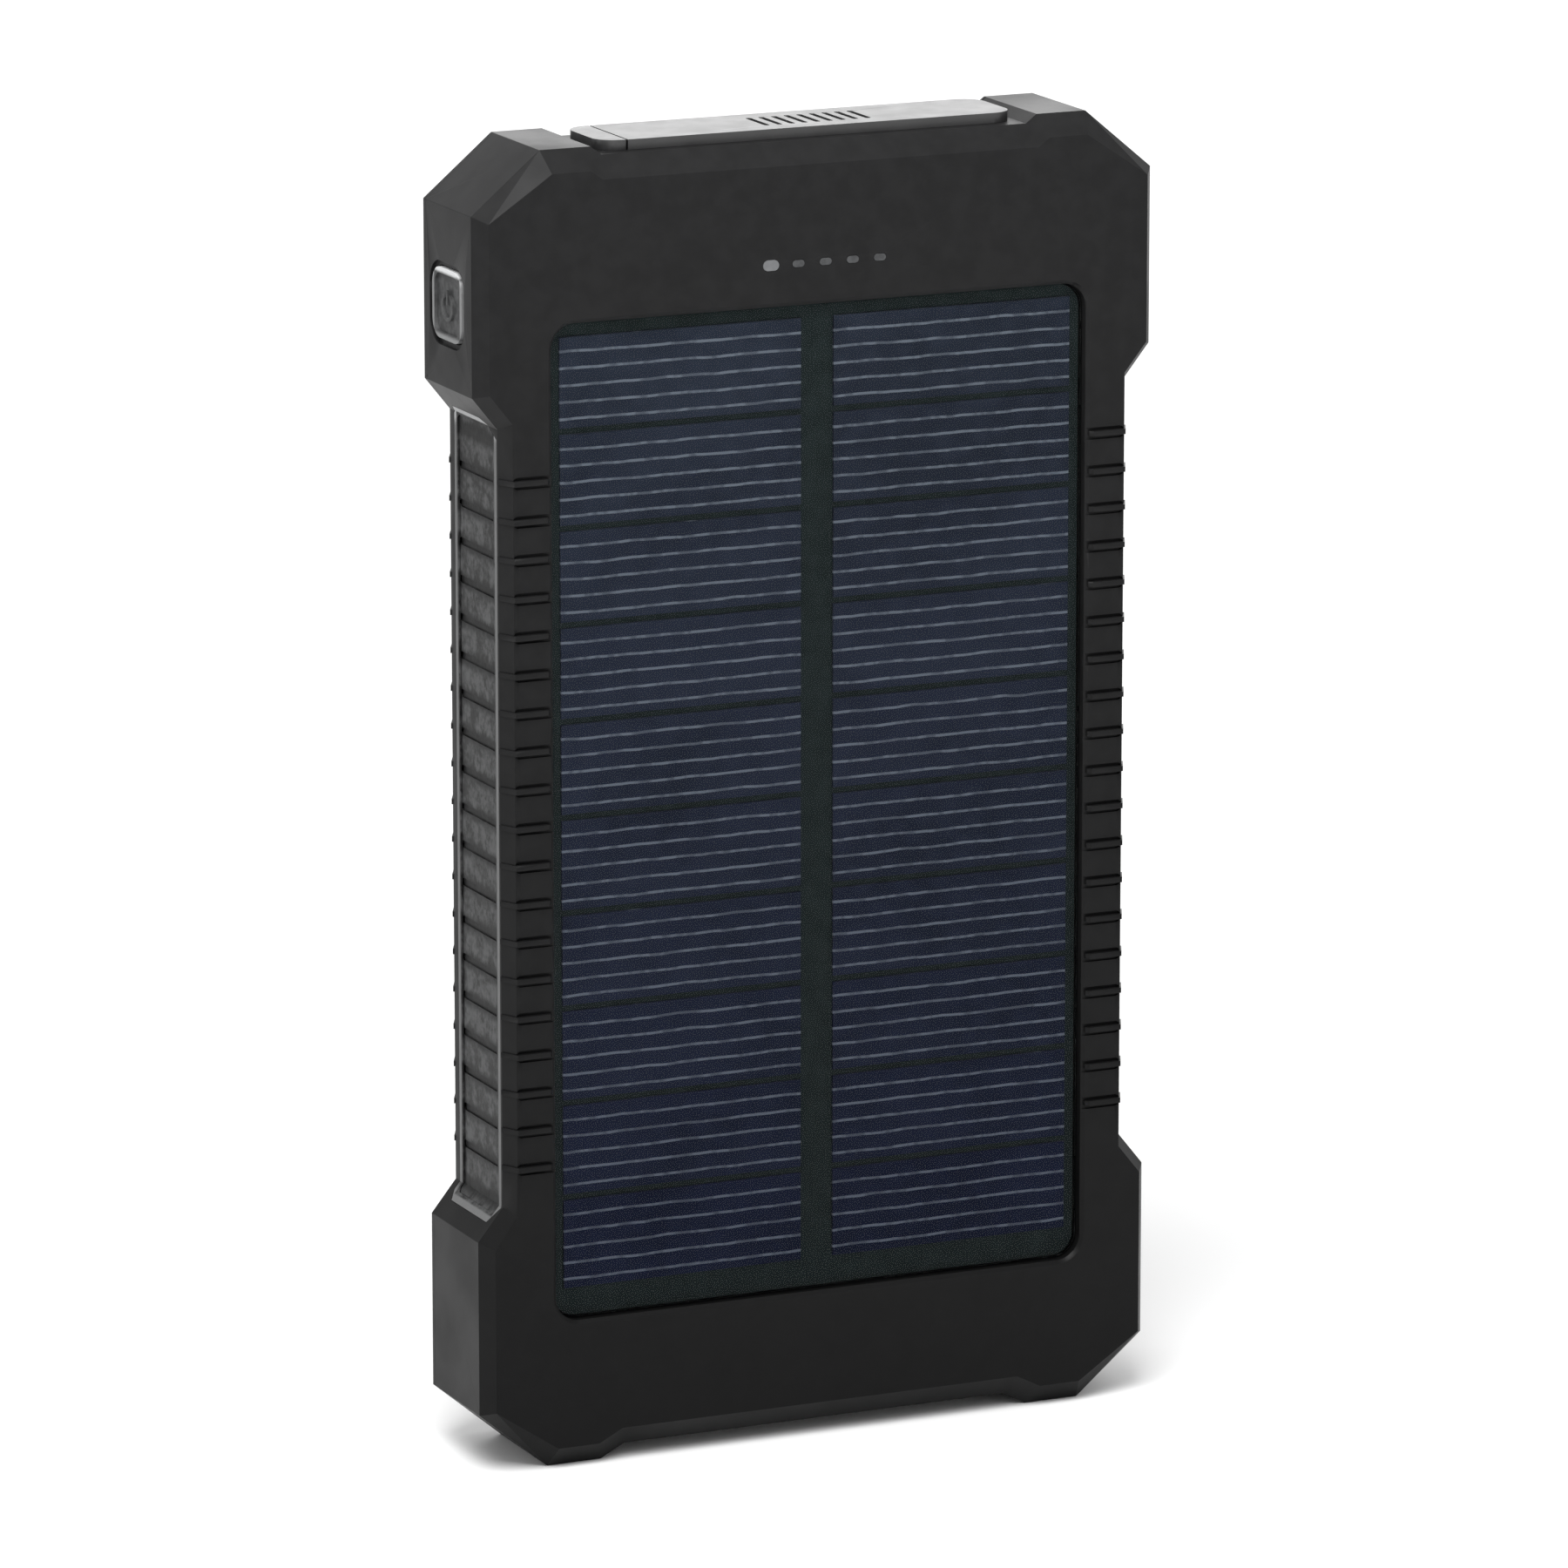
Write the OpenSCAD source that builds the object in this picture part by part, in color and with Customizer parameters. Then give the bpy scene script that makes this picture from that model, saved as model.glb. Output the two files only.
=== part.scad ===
// Rugged solar phone charger: a slim power bank with bumper corners, a recessed solar panel on its
// front, a power button on its left side and a swinging cover over the sockets on its top.
// X is the width, -Y the solar side, +Z up, and the origin is the middle of the base, on the floor.

/* [Body] */
// Width over the bumpers
body_w = 75; // [74:0.5:80]
// Height from the feet to the top of the bumpers
body_h = 136; // [134:1:142]
// Depth between the front and rear faces
body_d = 16; // [15.8:0.1:17]
// How far the bumpers stand out past the waist, on each side
bumper_proud = 2.7; // [2:0.1:3]
// Height of a bumper's flat side face
bumper_side_h = 18.3; // [17:0.1:19]
// Width of a corner's diagonal, seen from the front
corner_w = 7.4; // [6:0.1:8]
// Height of a corner's diagonal, seen from the front
corner_h = 6.2; // [5:0.1:7]
// Depth of the chamfer round the front and rear faces
chamfer_d = 1.8; // [1.5:0.05:1.9]

/* [Panel] */
// Width of the panel pocket
pocket_w = 59.2; // [59.2:0.1:60]
// Height of the panel pocket
pocket_h = 103.1; // [103:0.1:104]
// Depth of the panel's face below the front face
panel_sink = 1.0; // [0.6:0.1:1]
// Width of one solar cell
cell_w = 26.45; // [26:0.05:26.5]
// Height of one solar cell
cell_h = 9.25; // [8.6:0.05:9.4]
// Distance from one row of cells to the next
cell_pitch = 9.9; // [9.6:0.1:9.9]

/* [Grips] */
// Number of grip bars beside the panel, on each side
grip_count = 19; // [15:1:19]
// Distance from one grip bar to the next
grip_pitch = 3.93; // [3.5:0.01:3.93]
// Height of a grip bar
grip_h = 0.55; // [0.4:0.05:0.7]
// How far a grip bar stands out
grip_proud = 0.35; // [0.2:0.05:0.5]
// Height of the gap above and below a grip bar
grip_groove = 0.35; // [0.25:0.05:0.4]

/* [Button] */
// Width of the power button, along the depth of the body
button_w = 7.6; // [7:0.1:8]
// Height of the power button
button_h = 7.2; // [6.6:0.1:7.6]
// How far the power button travels
button_travel = 0.5; // [0.3:0.1:0.5]

/* [Sockets] */
// Distance of each large socket from the middle
usb_x = 12.8; // [12.6:0.1:13]
// Length of the port cover with its anchor
cover_l = 45.8; // [45:0.1:45.8]
// Width of the port cover
cover_w = 9.6; // [9:0.1:9.8]

/* [Hidden] */
columns = ["left", "right"];
rows = 10;
cell_nodes = [for (side = columns) for (row = [1:rows]) str("solar_cell_", side, "_", row)];
body_nodes = [
    "front_shell", "rear_shell", "shell_seal", "side_trim_left", "side_trim_right",
    "solar_board", "solar_cover", "solar_tape", "indicator_light_pipe", "indicator_leds"
];
inner_nodes = [
    "main_circuit_board", "usb_a_shell_left", "usb_a_shell_right", "usb_a_tongue_left",
    "usb_a_tongue_right", "usb_a_contacts_left", "usb_a_contacts_right", "micro_usb_shell",
    "micro_usb_tongue", "power_switch", "switch_plunger", "boost_inductor", "controller_chips",
    "smoothing_capacitors", "battery_pouch", "battery_protection_board", "battery_pads",
    "battery_lead_red", "battery_lead_black", "solar_lead_red", "solar_lead_black",
    "case_screws", "board_screws"
];
outer_nodes = ["power_button", "port_cover", "cover_anchor"];

$fn = 48;
slice = 0.01;
overlap = 0.5;
far = 40;

// Outline of the body, in the front view
half_w = body_w / 2;
waist_x = half_w - bumper_proud;
slope_h = 3.35;
side_z0 = corner_h;
side_z1 = side_z0 + bumper_side_h;
waist_z0 = side_z1 + slope_h;
slope_rise = slope_h / bumper_proud;
corner_x = half_w - corner_w;
foot_z = 1.35;
foot_x0 = 21.5;
foot_slope = 1.93;
notch_depth = 0.9;
notch_z = body_h - notch_depth;
notch_x0 = 23.4;
notch_slope = 1.33;
foot_spread = 0.4;
notch_spread = 0.3;
bumper_reach = 15;
waist_overlap = 6;

// Insets of the front and rear faces from the outline
inset_side = 1.15;
inset_waist = 0.9;
inset_end = 2.2;
inset_corner = 0.6;
inset_slope = 1.9;

// Depths, from the front face to the rear face
front_y = -body_d / 2;
rear_y = body_d / 2;
front_edge_y = front_y + chamfer_d;
rear_edge_y = rear_y - chamfer_d;
split_y = rear_y - 2.4;

// Grip bars, which turn over the chamfer at their outer ends
grip_shift = -0.5;
grip_z0 = body_h / 2 + grip_shift - (grip_count - 1) * grip_pitch / 2;
grip_root = 0.5;
grip_lip = 0.1;
grip_end = 0.05;
grip_groove_t = 0.3;

// Hollow of the case
cavity_x = 31;
cavity_z0 = 3.8;
cavity_z1 = body_h - 3.3;
cavity_corner = 2.5;
panel_stack = 1.8;
pocket_floor_y = front_y + panel_sink + panel_stack;
pocket_wall = 1.2;
cavity_y = pocket_floor_y + pocket_wall;
front_wall = 1.8;
pocket_z = 15.5;
pocket_r = 2.6;
pocket_bevel = 0.35;
bay_z = pocket_z + pocket_h + 1.6;

// Solar panel
panel_gap = 0.25;
tape_t = 0.2;
board_t = 1.0;
cell_t = 0.25;
glass_t = 0.6;
cell_x0 = 1.8;
cell_z0 = pocket_z + 3.2;
solar_board_y = pocket_floor_y - tape_t - board_t;
lead_hole_z = pocket_z + pocket_h - 5;
lead_hole_r = 0.9;
solar_lead_x = 3;
tape_in = 2;
tape_w = 8;

// Rear cover, its seal and its screws
seal_in = 0.7;
seal_w = 0.9;
seal_gap = 0.03;
seal_depth = 0.6;
screw_x = half_w - 2.95;
screw_z = 9;
screw_r = 0.8;
screw_head_r = 1.5;
screw_head_t = 0.9;
screw_l = 7;
screw_bore_r = 0.83;
screw_gap = 0.15;
screw_sink = 0.1;
screw_slot_w = 0.4;
rear_recess_in = 6;
rear_recess_t = 0.3;
rear_recess_r = 2;

// Trims in the waist
trim_t = 1.2;
trim_gap = 0.04;
trim_y0 = front_edge_y + 0.3;
trim_y1 = rear_edge_y - 1.1;
trim_up = 0.7;
trim_down = 1.7;
trim_top_cut = [3.2, 1.8];
trim_low_cut = [0.9, 1.55];
trim_rear_cut = [0.9, 0.9];
trim_rim = 0.9;
trim_dish = 0.35;
trim_groove_h = 0.8;
trim_groove_r = 0.3;

// Power button
button_y = 0.2;
button_z = body_h - 16.1;
button_r = 1.9;
button_gap = 0.15;
button_dish = 0.3;
button_ring = 0.5;
shoulder_x = -half_w + 1.6;
button_groove_t = 0.4;
button_flange = 0.8;
button_rim = 0.6;
flange_t = 0.8;
flange_x = shoulder_x + 0.1;
stem_r = 1.5;
mark_r = 1.5;
mark_line = 0.4;
mark_gap = 1.4;

// Main circuit board
pcb_y = 2.4;
pcb_t = 1.2;
pcb_x = 30.4;
pcb_z0 = body_h - 29.5;
pcb_z1 = cavity_z1 - 0.8;
board_screw_x = 25.5;
board_screw_z = body_h - 26;
board_screw_r = 0.8;
board_screw_bore_r = 0.83;
board_screw_l = 4;
board_head_t = 0.8;
board_bore_y = cavity_y + 0.2;
boss_r = 2.2;
pcb_r = 2.5;

// Sockets
usb_w = 13.1;
usb_d = 5.7;
usb_wall = 0.4;
usb_z0 = body_h - 12;
usb_z1 = notch_z - 0.2;
usb_y = pcb_y - usb_d / 2 - 0.05;
tongue_w = 11.1;
tongue_t = 1.84;
tongue_y0 = usb_y + usb_d / 2 - usb_wall - 0.75 - tongue_t;
tongue_z1 = usb_z1 - 1.7;
base_h = 1.5;
fit_gap = 0.02;
contact_pitch = 2.3;
contact_w = 1.0;
contact_t = 0.2;
micro_w = 7.5;
micro_d = 2.6;
micro_wall = 0.3;
micro_tongue_w = 4.2;
micro_tongue_t = 0.6;
micro_z0 = usb_z1 - 5.4;
micro_y = pcb_y - micro_d / 2 - 0.05;
socket_gap = 0.2;

// Indicators
pip_count = 5;
pip_pitch = 3.0;
pip_shift = 0.3;
pip_z = body_h - 13.1;
pip_w = 1.4;
pip_h = 0.8;
first_pip_w = 1.8;
first_pip_h = 1.15;
pip_gap = 0.04;
led_t = 0.8;
led_w = 1.6;
led_h = 0.8;

// Inductor on the board
inductor_x = -9;
inductor_z = 6.5;
inductor_w = 6.6;
inductor_y = pcb_y - 3;

// Switch
switch_x0 = -29.8;
switch_l = 3.4;
switch_h = 3.6;
switch_w = 4.4;
switch_bore_l = 1.4;
plunger_l = button_travel + 0.6;
plunger_r = 0.8;
plunger_gap = 0.06;
plunger_in = 0.7;
push_gap = 0.05;

// Port cover
port_cover_t = 1.05;
cover_z = notch_z + 0.02;
cover_top_z = cover_z + port_cover_t;
anchor_l = 2.9;
hinge_x = -cover_l / 2 + anchor_l;
hinge_gap = 0.2;
cover_r = 2.4;
plug_h = 1.1;
plug_in = 2 * (usb_wall + 0.5);
peg_r = 0.6;
peg_gap = 0.02;
peg_l = 1.6;
peg_x = -cover_l / 2 + anchor_l / 2;
peg_y = 2.6;
fold_l = 4;
plug_r = 0.6;
ridge_x = 2;
ridge_count = 9;
ridge_pitch = 1.4;
ridge_w = 0.6;
ridge_l = 5;
ridge_r = 0.25;
ridge_t = 0.25;

// Battery
battery_w = 58;
battery_h = 90;
battery_t = 8.4;
battery_z = 8.5;
pad_t = 0.2;
battery_y = cavity_y + pad_t;
battery_r = 1.6;
pouch_seam_t = 0.4;
pouch_seam_h = 5;
protect_x = 20;
protect_y = battery_y + battery_t / 2;
protect_z = battery_z + battery_h + 0.6;
protect_h = 3.8;
protect_t = 0.8;
protect_chip_w = 2.6;
protect_chip_h = 1.8;
pad_h = 14;
pad_in = 6;
battery_lead_x = 14.5;
lead_r = 0.55;
lead_sides = 8;

// ---- helpers ----

// A polygon drawn in the front view, [x, z], from y0 to y1
module front_slab(y0, y1, points) {
    translate([0, y1, 0])
        rotate([90, 0, 0])
            linear_extrude(y1 - y0)
                polygon(points);
}

// The solid between an outline at y0 and another at y1
module loft(y0, points0, y1, points1) {
    hull() {
        front_slab(y0, y0 + slice, points0);
        front_slab(y1 - slice, y1, points1);
    }
}

// A rectangle with round corners, centred, w wide and h high
module round_rect(w, h, r) {
    union() {
        square([w - 2 * r, h], center = true);
        square([w, h - 2 * r], center = true);
        for (sx = [-1, 1]) for (sy = [-1, 1])
            translate([sx * (w / 2 - r), sy * (h / 2 - r)])
                circle(r);
    }
}

// A round-cornered block in the front view, from y0 to y1, centred on x and z
module front_block(x, z, w, h, r, y0, y1) {
    translate([x, y1, z])
        rotate([90, 0, 0])
            linear_extrude(y1 - y0)
                round_rect(w, h, r);
}

// A round-cornered block in the side view, from x0 to x1, centred on y and z
module side_block(y, z, w, h, r, x0, x1) {
    translate([x0, y, z])
        rotate([90, 0, 90])
            linear_extrude(x1 - x0)
                round_rect(w, h, r);
}

// A slot with round ends in the front view
module front_slot(x, z, w, h, y0, y1) {
    translate([x, y1, z])
        rotate([90, 0, 0])
            linear_extrude(y1 - y0)
                union() {
                    square([w - h, h], center = true);
                    for (s = [-1, 1])
                        translate([s * (w - h) / 2, 0])
                            circle(h / 2, $fn = 24);
                }
}

// A box given by its lowest and highest corners
module block(low, high) {
    translate(low)
        cube(high - low);
}

// A bar along y
module bar_y(x, z, r, y0, y1) {
    translate([x, y1, z])
        rotate([90, 0, 0])
            cylinder(r = r, h = y1 - y0);
}

// Points of a half outline, given for +x from the bottom up, with their mirror images
function both_sides(half) = concat(half, [for (i = [len(half) - 1:-1:0]) [-half[i][0], half[i][1]]]);

// Points turned upside down about the middle of the body
function flipped(points) = [for (p = points) [p[0], body_h - p[1]]];

// ---- the body's outer form ----

// Outline of the lower bumper; a face's chamfer insets it
function bumper_points(side, end, corner, slope) = both_sides([
    [corner_x - corner, end],
    [half_w - side, side_z0 + corner],
    [half_w - side, side_z1 - slope + side * slope_rise],
    [waist_x - bumper_reach, waist_z0 - slope + bumper_reach * slope_rise]
]);

function waist_points(inset) = both_sides([
    [waist_x - inset, side_z1 - waist_overlap],
    [waist_x - inset, body_h - side_z1 + waist_overlap]
]);

// Recess between the feet
function foot_recess(grow) = both_sides([
    [foot_x0 + grow * foot_spread + (2 * foot_z + grow) * foot_slope, -foot_z],
    [foot_x0 + grow * foot_spread, foot_z + grow]
]);

// Notch that the port cover lies in
function notch_recess(grow) = both_sides([
    [notch_x0 + grow * notch_spread, notch_z - grow],
    [notch_x0 + grow * notch_spread + (4 * notch_depth + grow) * notch_slope, notch_z + 4 * notch_depth]
]);

// An outline from plain_y to the chamfer's edge, drawn in to another outline at the face
module chamfered(plain_y, edge_y, face_y, outer, inner) {
    out = face_y < plain_y ? -1 : 1;
    hull() {
        front_slab(min(plain_y, edge_y), max(plain_y, edge_y), outer);
        front_slab(min(face_y, face_y - out * slice), max(face_y, face_y - out * slice), inner);
    }
}

// Both bumpers and the waist between them, for the half of the case that has its face at face_y
module face_blocks(plain_y, edge_y, face_y) {
    outer = bumper_points(0, 0, 0, 0);
    inner = bumper_points(inset_side, inset_end, inset_corner, inset_slope);
    chamfered(plain_y, edge_y, face_y, outer, inner);
    chamfered(plain_y, edge_y, face_y, flipped(outer), flipped(inner));
    chamfered(plain_y, edge_y, face_y, waist_points(0), waist_points(inset_waist));
}

// What the notch over the sockets and the recess between the feet take away, with their chamfers
module end_recesses(face_y, edge_y) {
    past_y = 2 * face_y - edge_y;
    front_slab(-body_d, body_d, notch_recess(0));
    front_slab(-body_d, body_d, foot_recess(0));
    if (past_y < edge_y) {
        loft(past_y, notch_recess(2 * inset_end), edge_y, notch_recess(0));
        loft(past_y, foot_recess(2 * inset_end), edge_y, foot_recess(0));
    } else {
        loft(edge_y, notch_recess(0), past_y, notch_recess(2 * inset_end));
        loft(edge_y, foot_recess(0), past_y, foot_recess(2 * inset_end));
    }
}

// Grip bars beside the panel, on the face at face_y
module grip_bars(face_y) {
    out = face_y < 0 ? -1 : 1;
    edge_y = face_y - out * chamfer_d;
    inner_x = pocket_w / 2 + pocket_bevel;
    for (i = [0:grip_count - 1]) for (s = [-1, 1])
        translate([0, 0, grip_z0 + i * grip_pitch - grip_h / 2])
            linear_extrude(grip_h)
                polygon([
                    [s * inner_x, face_y - out * grip_root],
                    [s * inner_x, face_y + out * grip_proud],
                    [s * (waist_x - inset_waist), face_y + out * grip_proud],
                    [s * (waist_x + grip_lip), edge_y + out * grip_lip],
                    [s * (waist_x - grip_root), edge_y - out * grip_lip]
                ]);
}

function cavity_points(grow) = [
    [-cavity_x - grow, cavity_z0 - grow + cavity_corner],
    [-cavity_x - grow + cavity_corner, cavity_z0 - grow],
    [cavity_x + grow - cavity_corner, cavity_z0 - grow],
    [cavity_x + grow, cavity_z0 - grow + cavity_corner],
    [cavity_x + grow, cavity_z1 + grow - cavity_corner],
    [cavity_x + grow - cavity_corner, cavity_z1 + grow],
    [-cavity_x - grow + cavity_corner, cavity_z1 + grow],
    [-cavity_x - grow, cavity_z1 + grow - cavity_corner]
];

function screw_places() = [for (s = [-1, 1]) for (z = [screw_z, body_h - screw_z]) [s * screw_x, z]];

function pip_x(i) = pip_shift + (i - (pip_count - 1) / 2) * pip_pitch;
function pip_size(i) = i == 0 ? [first_pip_w, first_pip_h] : [pip_w, pip_h];

// ---- case ----

module front_shell() {
    color([0.13, 0.13, 0.135])
        difference() {
            union() {
                difference() {
                    union() {
                        difference() {
                            face_blocks(split_y, front_edge_y, front_y);
                            grip_grooves(front_y);
                        }
                        grip_bars(front_y);
                    }
                    front_slab(cavity_y, split_y + 1, cavity_points(0));
                    block([-cavity_x, front_y + front_wall, bay_z],
                          [cavity_x, cavity_y + 0.1, cavity_z1]);
                }
                for (s = [-1, 1])
                    bar_y(s * board_screw_x, board_screw_z, boss_r, cavity_y - overlap, pcb_y);
            }
            end_recesses(front_y, front_edge_y);
            panel_pocket();
            trim_pocket(-1);
            trim_pocket(1);
            button_hole();
            socket_holes();
            for (i = [0:pip_count - 1])
                front_slot(pip_x(i), pip_z, pip_size(i)[0], pip_size(i)[1], front_y - 1, 0);
            for (s = [-1, 1]) {
                bar_y(s * solar_lead_x, lead_hole_z, lead_hole_r, front_y, 0);
                bar_y(s * board_screw_x, board_screw_z, board_screw_bore_r, board_bore_y, pcb_y + 1);
            }
            for (p = screw_places())
                bar_y(p[0], p[1], screw_bore_r, rear_y - screw_head_t - screw_l - 2 * screw_gap, far);
            for (s = [-1, 1])
                translate([peg_x, s * peg_y, notch_z - peg_l - peg_gap])
                    cylinder(r = peg_r, h = far, $fn = 24);
        }
}

// The groove round each grip bar, which leaves a gap above and below the bar
module grip_grooves(face_y) {
    h = grip_h + 2 * grip_groove;
    in_y = face_y < 0 ? face_y + grip_groove_t : face_y - grip_groove_t;
    out_y = face_y < 0 ? face_y - 1 : face_y + 1;
    x0 = pocket_w / 2 - h;
    x1 = waist_x - inset_waist + grip_end;
    for (i = [0:grip_count - 1]) for (s = [-1, 1])
        front_slot(s * (x0 + x1) / 2, grip_z0 + i * grip_pitch, x1 - x0, h,
                   min(in_y, out_y), max(in_y, out_y));
}

module panel_pocket() {
    z = pocket_z + pocket_h / 2;
    front_block(0, z, pocket_w, pocket_h, pocket_r, front_y - 1, pocket_floor_y);
    hull() {
        front_block(0, z, pocket_w + 4 * pocket_bevel, pocket_h + 4 * pocket_bevel,
                    pocket_r + 2 * pocket_bevel, front_y - pocket_bevel, front_y - pocket_bevel + slice,
                    $fn = 32);
        front_block(0, z, pocket_w, pocket_h, pocket_r, front_y + pocket_bevel,
                    front_y + pocket_bevel + slice, $fn = 32);
    }
}

module trim_pocket(s) {
    mirror([s < 0 ? 1 : 0, 0, 0])
        trim_slab(0, -trim_t, far);
}

module button_hole() {
    side_block(button_y, button_z, button_w + 2 * button_gap, button_h + 2 * button_gap,
               button_r + button_gap, -far, -cavity_x + 1);
    side_block(button_y, button_z, button_w + 2 * button_ring + 2 * button_gap,
               button_h + 2 * button_ring + 2 * button_gap, button_r + button_ring + button_gap,
               -far, -half_w + button_groove_t);
    side_block(button_y, button_z, button_w + 2 * button_flange + 4 * button_gap,
               button_h + 2 * button_flange + 4 * button_gap, button_r,
               shoulder_x, -cavity_x + 1);
}

module socket_holes() {
    for (s = [-1, 1])
        block([s * usb_x - usb_w / 2 - socket_gap, usb_y - usb_d / 2 - socket_gap, cavity_z1 - 1],
              [s * usb_x + usb_w / 2 + socket_gap, usb_y + usb_d / 2 + socket_gap, body_h]);
    block([-micro_w / 2 - socket_gap, micro_y - micro_d / 2 - socket_gap, cavity_z1 - 1],
          [micro_w / 2 + socket_gap, micro_y + micro_d / 2 + socket_gap, body_h]);
}

module rear_shell() {
    color([0.12, 0.12, 0.125])
        difference() {
            union() {
                difference() {
                    face_blocks(split_y, rear_edge_y, rear_y);
                    grip_grooves(rear_y);
                }
                grip_bars(rear_y);
            }
            end_recesses(rear_y, rear_edge_y);
            seal_groove();
            for (p = screw_places()) {
                bar_y(p[0], p[1], screw_r + screw_gap, split_y - 1, far);
                bar_y(p[0], p[1], screw_head_r + screw_gap, rear_y - screw_head_t - screw_sink, far);
            }
            front_block(0, body_h / 2, pocket_w - rear_recess_in, pocket_h - rear_recess_in,
                        rear_recess_r, rear_y - rear_recess_t, far);
        }
}

module seal_groove() {
    difference() {
        front_slab(split_y - 1, split_y + seal_depth, cavity_points(seal_in + seal_w));
        front_slab(split_y - 2, split_y + seal_depth + 1, cavity_points(seal_in));
    }
}

module shell_seal() {
    color([0.16, 0.17, 0.18])
        difference() {
            front_slab(split_y, split_y + seal_depth - seal_gap,
                       cavity_points(seal_in + seal_w - seal_gap));
            front_slab(split_y - 1, split_y + 1, cavity_points(seal_in + seal_gap));
        }
}

// The trim's line up the right side, moved out by d: it follows the waist and the bumpers' slopes
function trim_line(d, more = 1) = [
    [waist_x + (trim_down + more) / slope_rise + d, waist_z0 - trim_down - more],
    [waist_x + d, waist_z0],
    [waist_x + d, body_h - waist_z0],
    [waist_x + (trim_up + more) / slope_rise + d, body_h - waist_z0 + trim_up + more]
];

// A corner cut, in depth and height, made smaller so that its edge too moves in by e
function cut_in(c, e) = c * (1 + e * (norm([1 / c[0], 1 / c[1]]) - 1 / c[0] - 1 / c[1]));

// The trim's outline in the side view, moved in by e
function trim_outline(e) =
    let (y0 = trim_y0 + e, y1 = trim_y1 - e)
    let (z0 = waist_z0 - trim_down + e, z1 = body_h - waist_z0 + trim_up - e)
    let (top = cut_in(trim_top_cut, e), low = cut_in(trim_low_cut, e), rear = cut_in(trim_rear_cut, e)) [
        [y0 + low[0], z0], [y1 - rear[0], z0], [y1, z0 + rear[1]], [y1, z1 - rear[1]],
        [y1 - rear[0], z1], [y0 + top[0], z1], [y0, z1 - top[1]], [y0, z0 + low[1]]
    ];

// Part of the right trim: its outline moved in by e, between its line moved out by d0 and by d1
module trim_slab(e, d0, d1) {
    line0 = trim_line(d0);
    line1 = trim_line(d1);
    intersection() {
        translate([0, rear_y, 0])
            rotate([90, 0, 0])
                linear_extrude(body_d)
                    polygon(concat(line0, [for (i = [len(line1) - 1:-1:0]) line1[i]]));
        rotate([90, 0, 90])
            linear_extrude(2 * body_w)
                polygon(trim_outline(e));
    }
}

module side_trim(s) {
    y = (trim_y0 + trim_y1) / 2;
    color([0.42, 0.42, 0.42])
        mirror([s < 0 ? 1 : 0, 0, 0])
            difference() {
                trim_slab(trim_gap, trim_gap - trim_t, 0);
                trim_slab(trim_rim, -trim_dish / 2, far);
                for (i = [0:grip_count - 1])
                    side_block(y, grip_z0 + i * grip_pitch, trim_y1 - trim_y0 - 2 * trim_rim - slice,
                               trim_groove_h, trim_groove_r, waist_x - trim_dish, far);
            }
}

module side_trim_left() { side_trim(-1); }
module side_trim_right() { side_trim(1); }

// ---- solar panel ----

module panel_layer(y0, y1, gap) {
    front_block(0, pocket_z + pocket_h / 2, pocket_w - 2 * gap, pocket_h - 2 * gap,
                pocket_r - gap, y0, y1);
}

module cell_box(side, row, gap) {
    x0 = side == "left" ? -cell_x0 - cell_w : cell_x0;
    z0 = cell_z0 + (row - 1) * cell_pitch;
    block([x0 - gap, solar_board_y - cell_t - gap, z0 - gap],
          [x0 + cell_w + gap, solar_board_y + gap, z0 + cell_h + gap]);
}

module solar_cell(side, row) {
    color([0.16, 0.18, 0.28])
        cell_box(side, row, 0);
}

module solar_board() {
    color([0.08, 0.1, 0.1])
        difference() {
            panel_layer(solar_board_y, solar_board_y + board_t, panel_gap);
            for (s = [-1, 1])
                bar_y(s * solar_lead_x, lead_hole_z, lead_r + 0.05, -far, far);
        }
}

module solar_cover() {
    color([0.3, 0.34, 0.36, 0.35])
        difference() {
            panel_layer(solar_board_y - glass_t, solar_board_y, panel_gap);
            for (side = columns) for (row = [1:rows])
                cell_box(side, row, 0.02);
        }
}

module solar_tape() {
    color([0.85, 0.85, 0.83])
        difference() {
            panel_layer(solar_board_y + board_t, pocket_floor_y, tape_in);
            front_block(0, pocket_z + pocket_h / 2, pocket_w - 2 * tape_w, pocket_h - 2 * tape_w, tape_in,
                        front_y, 0);
            for (s = [-1, 1])
                bar_y(s * solar_lead_x, lead_hole_z, lead_hole_r, front_y, 0);
        }
}

// ---- indicators ----

module indicator_light_pipe() {
    bar_y0 = front_y + front_wall + 0.1;
    color([0.9, 0.92, 0.92, 0.7]) {
        for (i = [0:pip_count - 1])
            front_slot(pip_x(i), pip_z, pip_size(i)[0] - 2 * pip_gap, pip_size(i)[1] - 2 * pip_gap,
                       front_y - 0.02, bar_y0 + 0.2);
        block([pip_x(0) - pip_pitch / 2, bar_y0, pip_z - pip_h],
              [pip_x(pip_count - 1) + pip_pitch / 2, bar_y0 + 1, pip_z + pip_h]);
        for (i = [0:pip_count - 1])
            block([pip_x(i) - led_h / 2, bar_y0 + 0.5, pip_z - led_h / 2],
                  [pip_x(i) + led_h / 2, pcb_y - led_t - 0.15, pip_z + led_h / 2]);
    }
}

module indicator_leds() {
    color([0.95, 0.95, 0.85])
        for (i = [0:pip_count - 1])
            block([pip_x(i) - led_w / 2, pcb_y - led_t, pip_z - led_h / 2],
                  [pip_x(i) + led_w / 2, pcb_y, pip_z + led_h / 2]);
}

// ---- circuit board ----

module main_circuit_board() {
    color([0.05, 0.25, 0.12])
        difference() {
            front_block(0, (pcb_z0 + pcb_z1) / 2, 2 * pcb_x, pcb_z1 - pcb_z0, pcb_r, pcb_y, pcb_y + pcb_t);
            for (s = [-1, 1])
                bar_y(s * board_screw_x, board_screw_z, board_screw_r + screw_gap, 0, far);
        }
}

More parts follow.
